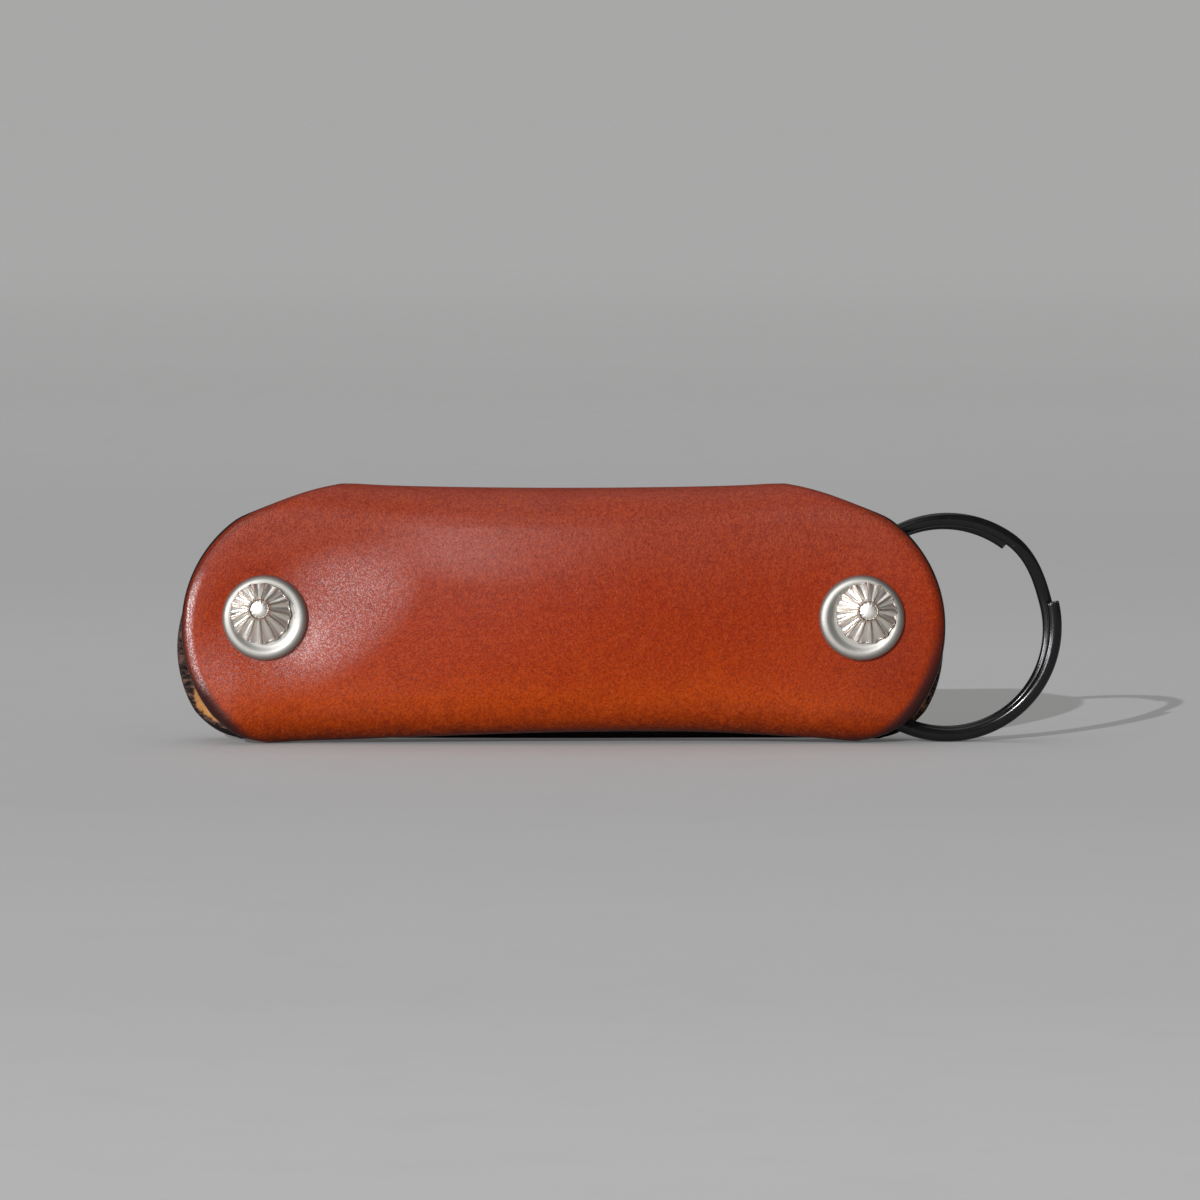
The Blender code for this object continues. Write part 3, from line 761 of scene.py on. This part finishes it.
# %% Flesh side, relief and shine
fibres = leather.noise(0.5, 5.0, 0.7, stretch=(0.35, 1.0, 1.0))
run = leather.noise(1.3, 4.0, 0.65) * 2.0 - 0.35 + down.between(0.83, 0.75) * 2.6
worn_dye = leather.mix(fibres.between(0.42, 0.66), edge_dye, (0.170, 0.095, 0.070))
suede = leather.layered(leather.mix(fibres, (0.50, 0.19, 0.050), (0.84, 0.42, 0.15)), [
    (clouds.between(0.45, 0.7) * 0.4, (0.33, 0.13, 0.05)),
    ((edge - run).between(0.35, -0.25), worn_dye)])
relief = (pores * 0.55 + leather.noise(0.75, 3.0, 0.5) * 0.45) * (1 - on_flesh) + fibres * on_flesh * 2.2
shine = 0.35 + (mottle - 0.5) * 0.24 - edge.between(2.4, 0.6) * 0.05
leather.feed(Base_Color=leather.mix(on_flesh, grain, suede),
             Normal=leather.bump(relief * edge.between(0.0, 0.8), 0.13),
             Roughness=shine * (1 - on_flesh) + on_flesh * 0.88)
finish_piece("folded_leather_cover", hide, leather, "holder", "leather", "leather_cover")

# %% [markdown]
# ## Metal finishes
#
# The caps and the back screws are bright nickel with dull metal left in the stamped grooves. The
# cup washers and the flat washers are satin nickel, a duller metal with a fine brushed grain, and
# the posts are turned steel. Dark patina gathers where a polishing cloth can't reach, so the caps
# and the screws' slots carry a mark that says where that is.

# %% Nickel and steel
def metal_finish(name, colour, roughness, grain_size, grain_depth, dull=(0.24, 0.21, 0.18)):
    metal = Finish(name, Metallic=1.0)
    clouds = metal.noise(1.8, 3.0, 0.6)
    pits = metal.cells(0.9).between(0.10, 0.05) * metal.noise(2.2, 1.0).between(0.5, 0.6)
    groove = metal.marked("groove")
    worn = metal.mix(clouds.between(0.45, 0.75) * 0.35, colour, tuple(0.82 * part for part in colour))
    metal.feed(Base_Color=metal.layered(worn, [(pits * 0.5, dull), (groove * 0.85, dull)]),
               Roughness=roughness + (clouds - 0.5) * 0.12 + groove * 0.2 + pits * 0.15,
               Normal=metal.bump(metal.noise(grain_size, 2.0, 0.5), grain_depth))
    return metal


bright_nickel = metal_finish("bright_nickel", (0.92, 0.88, 0.81), 0.33, 0.35, 0.004, (0.10, 0.085, 0.07))
satin_nickel = metal_finish("satin_nickel", (0.335, 0.327, 0.297), 0.54, 0.14, 0.012)
post_steel = metal_finish("post_steel", (0.56, 0.55, 0.53), 0.30, 0.2, 0.003)

# %% [markdown]
# ## Sunburst caps
#
# Each cap is stamped: a low domed hub, thirteen hollow rays that fan out to a scalloped rim, and
# between two rays a pair of sharp ridges with a groove. It could be carved with a normal map, but
# the rim shows the scallops in outline and the light breaks on every ridge, so the relief is in
# the mesh. The stamp never lands exactly in the middle: the hub sits a little above it.

# %% Sizes of the cap
cap_radius, cap_rim, cap_rise, cap_slope_power = 4.3, 0.30, 1.00, 1.2
hub_radius, hub_rise, hub_foot, hub_seat_share = 1.30, 0.38, 1.38, 0.90
hub_power, hub_collar, hub_collar_share, hub_dimple = 2.8, 0.16, 0.07, 0.03
hub_shares = (0.12, 0.3, 0.48, 0.64, 0.78, 0.88, 0.95, 0.99)
moat = ((1.01, 0.10), (1.06, 0.13))
ray_count, ray_steps, slope_rings = 13, 24, 20
ray_depth, ray_scallop, ray_depth_at_hub_share = 0.40, 0.2, 0.55
notch_share, notch_depth, notch_power, hollow_power = 0.36, 0.36, 0.8, 0.75
ray_fade_share, rim_relief_share, rim_break, rim_foot = 0.08, 0.55, 0.7, 0.1
ridge_dirt, ridge_dirt_fall, rim_dirt = 0.9, 1.4, 0.45
skirt, skirt_inset = 0.25, 0.06
cup_height = 1.2
cap_seat = post_outer_face + cup_height + 2 * seat_gap
cap_turn = {"left": math.radians(-3), "right": math.radians(6)}
hub_offset = {"left": (-0.08, 0.62), "right": (0.30, 0.36)}

ray_part = np.arange(ray_count * ray_steps) % ray_steps / ray_steps
from_notch = np.minimum(ray_part, 1 - ray_part) * 2
print("one ray spans", round(360 / ray_count, 1), "degrees, and the cap sits",
      round(cap_seat, 2), "mm from the middle")


# %% Build the caps
def ray_relief(share_out):
    """Depth below the ridges: a notch between two ridges, then the hollow of the ray."""
    in_notch = np.clip(from_notch / notch_share, 0, 1)
    in_hollow = np.clip((from_notch - notch_share) / (1 - notch_share), 0, 1)
    deepening = ray_depth_at_hub_share + (1 - ray_depth_at_hub_share) * share_out
    notch = notch_depth * (0.5 + 0.5 * np.cos(np.pi * in_notch)) ** notch_power
    hollow = ray_depth * deepening * np.sin(np.pi / 2 * in_hollow) ** hollow_power
    return np.where(from_notch < notch_share, notch, hollow)


def build_cap(side, place):
    steps = len(ray_part)
    angle = cap_turn[side] + np.arange(steps) * math.tau / steps
    points, grooves, rows = [], [], []

    def add_ring(radius, height, groove, offset_share):
        """One ring of points. The hub's offset fades towards the rim."""
        rows.append(next_row(points, steps))
        x, z = (offset * offset_share for offset in hub_offset[side])
        ring = np.stack([radius * np.cos(angle) + x, -cap_seat - height + 0 * angle,
                         radius * np.sin(angle) + z], axis=1)
        points.extend(place + Vector(spot) * MM for spot in ring)
        grooves.extend(groove + 0 * angle)

    # The hub is a low dome with a soft flat on top, in a narrow moat
    hub_seat = cap_rim + cap_rise * hub_seat_share
    for share in hub_shares:
        dimple = hub_dimple * share ** 4 * np.cos(math.tau * ray_part)
        add_ring(hub_radius * share, hub_seat + hub_rise * math.sqrt(1 - share ** hub_power) + dimple, 0, 1)
    for wider, drop in moat:
        add_ring(hub_radius * wider, hub_seat - drop, 1, 1)
    scallop = ray_scallop * np.sin(np.pi * ray_part)
    dirt = ridge_dirt * np.maximum(1 - from_notch / notch_share * ridge_dirt_fall, 0)
    for share in np.linspace(0, 1, slope_rings):
        fade = min(share / ray_fade_share, 1)
        height = cap_rim + cap_rise * (1 - share ** cap_slope_power)
        height += hub_collar * math.exp(-(share / hub_collar_share) ** 2)
        add_ring(hub_foot + (cap_radius - hub_foot) * share - scallop * share ** 3,
                 height - fade * ray_relief(share), fade * dirt, 1 - share)
    rim = cap_rim - ray_relief(1) * rim_relief_share
    for inset, height in ((0, rim * rim_break), (0, rim * rim_foot), (skirt_inset, -skirt)):
        add_ring(cap_radius - inset - scallop, height, rim_dirt, 0)

    faces = walls(rows)
    x, z = hub_offset[side]
    crown, underside = (x, -cap_seat - hub_seat - hub_rise, z), (0, -cap_seat + skirt, 0)
    for row, tip in ((rows[0], crown), (rows[-1], underside)):
        faces += [(len(points), row[step - 1], row[step]) for step in range(steps)]
        points.append(place + Vector(tip) * MM)
        grooves.append(0.0)
    return mesh_of(side + "_sunburst", points, faces, {"groove": grooves})


for side, place in post_places.items():
    finish_piece(side + "_stamped_cap", build_cap(side, place), bright_nickel, "holder",
                 "bright_nickel", side + "_sunburst_cap")

# %% [markdown]
# ## Cup washers, posts and back screws
#
# The cup washer is a ring of pressed metal with a full round bead, and the cap sits in its dish.
# Behind the leather, a slotted screw in a flat washer closes the post. The thread shows when the
# screw is backed out, so both threads are real helices of one pitch, cut so that they clear each
# other. All of them are turned from profiles.

# %% Sizes of the hardware
cup_radius, cup_crest, cup_dish, cup_floor, cup_hole = 5.95, 4.95, 3.8, 0.90, 2.46
cup_foot_inset, cup_foot_height, cup_steps = 0.16, 0.14, 128
bead_power, bead_rise_power, bead_rings, dish_rings = 0.85, 0.9, 9, 13
post_radius, post_end_recess, post_chamfer, post_fillet = 1.6, 0.4, 0.12, 0.05
post_flange_radius, post_flange_thickness, post_steps = 2.3, 0.25, 48
bore_radius, bore_depth, bore_lead_in, bore_thread = 1.08, 5.4, 0.15, 0.12
bore_mouth_wider, bore_throat_wider, bore_thread_wider, bore_step = 0.16, 0.05, 0.02, 0.1
screw_head_radius, screw_head_thickness, screw_head_round, screw_head_break = 4.0, 1.3, 0.45, 0.12
screw_engagement, screw_core, screw_thread, screw_neck, screw_steps = 4.4, 0.84, 0.15, 0.35, 64
screw_point, screw_point_length = ((0, 0.0), (0.62, 0.0), (0.80, 0.25)), 0.3
screw_collar = ((0.9, 0.05), (0.95, screw_neck))
slot_width, slot_depth, slot_overrun, slot_floor_reach = 0.9, 0.6, 1, 0.01
back_washer_radius, back_washer_thickness, back_washer_hole, back_washer_edge = 4.9, 0.8, 1.3, 0.15
back_washer_face = post_outer_face + seat_gap
screw_seat = back_washer_face + back_washer_thickness + seat_gap
screw_top = screw_seat + screw_head_thickness
thread_steps_per_turn = 8
print("the screws stand", round(screw_top - post_outer_face, 2), "mm proud of the leather")


# %% Profiles of the hardware
def cup_profile():
    """Floor, outer foot, round bead and the inner wall of the dish."""
    face = -post_outer_face - seat_gap
    profile = [(cup_hole, face), (cup_radius - cup_foot_inset, face)]
    for turn in np.linspace(0, math.pi / 2, bead_rings):
        bead, rise = max(math.cos(turn), 0) ** bead_power, math.sin(turn) ** bead_rise_power
        profile.append((cup_crest + (cup_radius - cup_crest) * bead,
                        face - cup_foot_height - (cup_height - cup_foot_height) * rise))
    for share in np.linspace(0, 1, dish_rings)[1:]:
        fall = 0.5 - 0.5 * math.cos(math.pi * share)
        profile.append((cup_crest + (cup_dish - cup_crest) * share,
                        face - cup_height + (cup_height - cup_floor) * fall))
    return profile + [(cup_hole, face - cup_floor)]


def thread(radius, start, end, run_length, depth):
    """Points along a thread, whose third number is the depth of the thread."""
    steps = int(run_length / thread_pitch * thread_steps_per_turn)
    return [(radius, start + (end - start) * step / steps, depth) for step in range(steps)]


def post_profile():
    """Flange under the cap, then the barrel with its threaded blind bore."""
    end = post_outer_face - post_end_recess
    top = -cap_seat + skirt + seat_gap
    profile = [(0, top), (post_flange_radius, top), (post_flange_radius, top + post_flange_thickness),
               (post_radius, top + post_flange_thickness + post_fillet), (post_radius, end - post_chamfer),
               (post_radius - post_chamfer, end), (bore_radius + bore_mouth_wider, end),
               (bore_radius + bore_throat_wider, end - bore_step)]
    profile += thread(bore_radius + bore_thread_wider, end - bore_lead_in,
                      end - bore_depth + bore_lead_in, bore_depth, bore_thread)
    return profile + [(bore_radius, end - bore_depth + bore_step), (0, end - bore_depth)]


def screw_profile():
    """A pointed shank with a cut thread, and a low head with a rounded edge."""
    tip = post_outer_face - post_end_recess - screw_engagement
    start, neck = tip + screw_point_length, screw_seat - screw_neck
    profile = [(radius, tip + along) for radius, along in screw_point]
    profile += thread(screw_core, start, neck, neck - start, screw_thread)
    profile += [(screw_core, neck, screw_thread)]
    profile += [(radius, neck + along) for radius, along in screw_collar]
    profile += rounded((screw_head_radius, screw_seat), (1, 0), (0, 1), screw_head_break, 2)
    profile += rounded((screw_head_radius, screw_top), (0, 1), (-1, 0), screw_head_round, 8)
    return profile + [(screw_head_radius / 2, screw_top), (0, screw_top)]


def ring_profile(outer, hole, start, end, edge):
    """A flat washer with broken edges."""
    corners = [((outer, start), (1, 0), (0, 1)), ((outer, end), (0, 1), (-1, 0)),
               ((hole, end), (-1, 0), (0, -1)), ((hole, start), (0, -1), (1, 0))]
    return [point for corner in corners for point in rounded(*corner, edge, 4)]


# %% Mill the slots and fit the hardware
def cut_slot(mesh, place):
    """Mills the driver's slot across the screw's head, and marks its floor for the patina."""
    reach, floor = screw_head_radius + slot_overrun, screw_top - slot_depth
    corners = [place + Vector((x, y, z)) * MM for x in (-reach, reach)
               for y in (floor, screw_top + slot_overrun) for z in (-slot_width / 2, slot_width / 2)]
    faces = [(0, 1, 3, 2), (4, 6, 7, 5), (0, 4, 5, 1), (2, 3, 7, 6), (0, 2, 6, 4), (1, 5, 7, 3)]
    cut = cut_away(mesh, [mesh_of("mill", corners, faces)])
    patina = [float(abs((point.co.y - place.y) / MM - floor) < slot_floor_reach) for point in cut.vertices]
    cut.attributes.new("groove", "FLOAT", "POINT").data.foreach_set("value", patina)
    return cut


for side, place in post_places.items():
    inward = washer_offset[0] * (1 if side == "left" else -1)
    cup_place = place + Vector((inward, 0, washer_offset[1])) * MM
    washer = ring_profile(back_washer_radius, back_washer_hole, back_washer_face,
                          back_washer_face + back_washer_thickness, back_washer_edge)
    finish_piece(side + "_cup_rim", turned("cup", cup_profile(), cup_place, cup_steps), satin_nickel,
                 "holder", "satin_nickel", side + "_cup_washer")
    finish_piece(side + "_turned_post", turned("post", post_profile(), place, post_steps), post_steel,
                 "holder", "steel", side + "_threaded_post")
    finish_piece(side + "_flat_washer", turned("flat", washer, place, 96), satin_nickel,
                 side + "_washer", "satin_nickel", side + "_back_washer")
    screw = cut_slot(turned("screw", screw_profile(), place, screw_steps), place)
    finish_piece(side + "_slotted_screw", screw, bright_nickel,
                 side + "_screw", "bright_nickel", side + "_back_screw")

# %% [markdown]
# ## Spacers
#
# Thin black nylon washers sit on the posts between the panels. They keep the keys and the ring
# off the leather, and they are only seen from below or through the open ends. They are turned
# with broken edges, from the places and widths of their solids.

# %% Nylon spacers
spacer_hole = post_radius + 0.15
spacer_edge = 0.12
spacer_nodes = ("left_front_spacer", "left_key_washer", "left_rear_spacer", "right_front_spacer",
                "right_rear_spacer")
nylon = Finish("black_nylon", Specular_IOR_Level=0.4)
nylon_grain = nylon.noise(0.4, 3.0)
nylon.feed(Base_Color=nylon.mix(nylon_grain, (0.018, 0.018, 0.019), (0.038, 0.037, 0.036)),
           Roughness=0.42 + nylon_grain * 0.2, Normal=nylon.bump(nylon_grain, 0.01))
for node in spacer_nodes:
    low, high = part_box(node)
    start, end = (low.y - gap_middle) / MM, (high.y - gap_middle) / MM
    profile = ring_profile((high.x - low.x) / 2 / MM, spacer_hole, start, end, spacer_edge)
    ring = turned(node, profile, post_places[node.split("_")[0]])
    finish_piece(node.rsplit("_", 1)[0] + "_nylon", ring, nylon, "holder", "nylon", node)

# %% [markdown]
# ## The split ring
#
# A split ring is one strand of hard wire wound twice and flattened, so that its coils lie on each
# other. Each end stops where the other coil crosses over, which gives the two little steps. It
# could be two tori, but those would have no steps and no crossing, so one section is swept along
# the real path: the front coil, the crossing and the rear coil.

# %% Sweep the wire
ring_radius, wire_width, wire_thickness = 16.0, 1.85, 1.35
coil_gap, step_at_ends, step_opposite = 0.14, 0.92, 0.24
front_end_degrees, rear_end_degrees = 13.6, 54.5
ring_post_gap, solid_width, solid_step = 0.5, 1.75, 0.42
section_steps, section_power, sweep_steps = 28, 2.4, 420
end_degrees, end_turns, end_taper = 1.5, (0.0, 0.12, 0.3, 0.6), 0.16


def squared(value):
    """Fills a round section out towards a square one."""
    return math.copysign(abs(value) ** (2 / section_power), value)


def build_ring():
    crossing = rear_end_degrees - front_end_degrees
    total = 720 - crossing
    distance = ring_radius - solid_width - solid_step - post_radius - ring_post_gap
    drop = post_places["right"].z / MM - ring_radius
    centre = post_places["right"] + Vector((math.sqrt(distance ** 2 - drop ** 2), 0, -drop)) * MM
    middle_turns = np.linspace(end_degrees, total - end_degrees, sweep_steps)
    points, from_end, rows = [], [], []
    for turned_by in (*end_turns, *middle_turns, *(total - turn for turn in reversed(end_turns))):
        crossed = eased((turned_by - (360 - crossing)) / crossing)
        angle = math.radians(front_end_degrees - turned_by)
        near_ends = 0.5 + 0.5 * math.cos(angle - math.radians((front_end_degrees + rear_end_degrees) / 2))
        coil_step = step_opposite + (step_at_ends - step_opposite) * near_ends ** 3
        middle = ring_radius - wire_width / 2 - coil_step * crossed
        layer = (wire_thickness + coil_gap) / 2 * (2 * crossed - 1)
        near_end = min(turned_by, total - turned_by)
        full = 1 - end_taper * max(1 - near_end / end_turns[-1], 0) ** 2
        rows.append(next_row(points, section_steps))
        for turn in (np.arange(section_steps) + 0.5) * math.tau / section_steps:
            reach = middle + wire_width / 2 * full * squared(math.cos(turn))
            depth = layer + wire_thickness / 2 * full * squared(math.sin(turn))
            points.append(centre + Vector((reach * math.cos(angle), depth, reach * math.sin(angle))) * MM)
            from_end.append(near_end)
    return mesh_of("wound_wire", points, walls(rows) + [rows[0], rows[-1]], {"degrees_from_end": from_end})


# %% [markdown]
# ## The black plating
#
# The wire is plated black over steel. It is nearly black with a tight gloss, and chips of bare
# metal show near the ends, where keys are forced past. The chips are a mask on Metallic.

# %% Plate the wire
def black_wire_finish():
    wire = Finish("black_plating", Specular_IOR_Level=0.38)
    fine = wire.noise(0.22, 3.0, 0.6)
    clouds = wire.noise(2.4, 3.0, 0.6)
    near_end = wire.marked("degrees_from_end").between(9.0, 0.5)
    chips = (wire.noise(0.45, 3.0, 0.65) + near_end * 0.13).between(0.72, 0.76)
    black = wire.mix(clouds, (0.0025, 0.0025, 0.003), (0.006, 0.006, 0.0065))
    wire.feed(Base_Color=wire.mix(chips, black, (0.42, 0.37, 0.31)), Metallic=chips,
              Roughness=0.14 + (clouds - 0.5) * 0.10 + fine * 0.06, Normal=wire.bump(fine, 0.005))
    return wire


finish_piece("wound_split_ring", build_ring(), black_wire_finish(), "ring", "black_steel", "split_ring")

# %% [markdown]
# ## The table
#
# The object stands on a large sheet of pale grey card. A ramp along the depth paints light and shade on it:
# lighter at the front, darker round the object and lighter again further back, as the studio light falls on
# the card. Its tooth is a fine bump. A small share of its own glow, for the camera only, keeps the long
# shadow as light as card in a bright room shows it.

# %% The card
table_radius, table_sides = 30.0, 96
ramp_start, ramp_length = -0.45, 1.95
# Painted light: the card's tone along the depth follows how the light falls on it, not a colour of the card.
card_light_falloff_tones = [(-0.403, 0.652), (-0.34, 0.622), (-0.284, 0.579), (-0.214, 0.568), (-0.146, 0.542),
              (-0.084, 0.517), (0.166, 0.521), (0.308, 0.506), (0.425, 0.508), (0.527, 0.525),
              (0.781, 0.595), (1.0, 0.645), (1.5, 0.70)]
glow_share = 0.15


def grey(tone):
    return (tone, tone, tone)


def card_finish():
    card = Finish("grey_card", Specular_IOR_Level=0.2, Roughness=0.75)
    blotches = card.noise(14.0, 4.0, 0.6)
    tooth = card.noise(0.7, 3.0, 0.6)
    depth = card.part_of(card.place(), 1)
    stops = [((place - ramp_start) / ramp_length, grey(tone)) for place, tone in card_light_falloff_tones]
    ramp = card.node("ShaderNodeValToRGB", {"stops": stops}, {0: (depth - ramp_start) / ramp_length})
    tone = card.layered(ramp, [(depth.between(1.2, 3.0), grey(0.787)), ((blotches - 0.5) * 0.3, grey(0.40))])
    card.feed(Base_Color=card.mix(tooth.between(0.55, 0.8) * 0.10, tone, (0.40, 0.40, 0.39)),
              Normal=card.bump(tooth, 0.02))
    glow = card.mix(0.24 + depth.between(0.2, 1.2) * 0.26, tone, grey(0.0))
    card.show("Material Output", card.node("ShaderNodeMixShader", None, {
        0: card.node("ShaderNodeLightPath", output="Is Camera Ray") * glow_share,
        1: Amount(card, card.shader.outputs[0]), 2: card.node("ShaderNodeEmission", None, {0: glow})}))
    return card


def make_table():
    work = bmesh.new()
    bmesh.ops.create_circle(work, cap_ends=True, segments=table_sides, radius=table_radius)
    mesh = bpy.data.meshes.new("card")
    work.to_mesh(mesh)
    work.free()
    mesh.materials.append(card_finish().material)
    table = put("card_table", mesh)


make_table()

# %% [markdown]
# ## The lights
#
# One small hard light, low in front and to the left, throws the ring's long thin shadow, and a
# wide soft light overhead fills the room. Two windows, in front and to the left, only show as
# gloss: they give the leather its sheen and the metal something to reflect, and the colours stay
# as they were mixed.

# %% Lamps
light_direction = Vector((1.0, 2.45, -1.0)).normalized()


def add_lamp(name, kind, place, aim, **settings):
    lamp = bpy.data.lights.new(name, kind)
    for setting, value in settings.items():
        setattr(lamp, setting, value)
    holder = put(name, lamp)
    holder.location = place
    holder.rotation_mode = "QUATERNION"
    holder.rotation_quaternion = (Vector(aim) - Vector(place)).to_track_quat("-Z", "Y")
    return holder


def add_panel(name, place, aim, width, height, energy, color):
    return add_lamp(name, "AREA", place, aim, shape="RECTANGLE", size=width, size_y=height, energy=energy,
                    color=color)


add_lamp("hard_light", "SUN", -light_direction, (0, 0, 0), energy=2.4, angle=math.radians(0.6),
         color=(0.97, 0.965, 1.0))
add_panel("overhead_light", (-0.15, 0.05, 0.9), (0, 0, 0), 1.1, 0.7, 2.3, (0.97, 0.98, 1.0))
for name, place, width, height, energy in (("left_window", (-0.90, -0.66, 0.13), 0.34, 0.24, 7.5),
                                           ("front_window", (-0.52, -1.15, 0.08), 0.55, 0.15, 5.6)):
    window = add_panel(name, place, (0, 0, 0.02), width, height, energy, (0.97, 0.96, 1.0))
    window.visible_diffuse = False

# %% [markdown]
# ## The room
#
# The room behind the table is a plain grey. The world could be one colour, but then it would
# light the object as strongly as it is seen, so it answers each kind of ray for itself: a soft
# fill for the surfaces, a darker grey for gloss, and the backdrop's grey for the camera.

# %% The world
fill, fill_strength = (1.0, 1.0, 0.95), 0.27
backdrop, gloss_room = (0.392, 0.392, 0.389), (0.12, 0.12, 0.122)
answers = (("Is Glossy Ray", gloss_room), ("Is Transmission Ray", backdrop), ("Is Camera Ray", backdrop))


def make_world():
    world = bpy.data.worlds.new("studio")
    room = Network(world)
    shown = room.node("ShaderNodeBackground", None, {0: fill, 1: fill_strength})
    for ray, colour in answers:
        answer = room.node("ShaderNodeBackground", None, {0: colour, 1: 1.0})
        chosen = room.node("ShaderNodeLightPath", output=ray)
        shown = room.node("ShaderNodeMixShader", None, {0: chosen, 1: shown, 2: answer})
    room.show("World Output", shown)
    bpy.context.scene.world = world


make_world()
bpy.context.scene.view_settings.view_transform = "Standard"
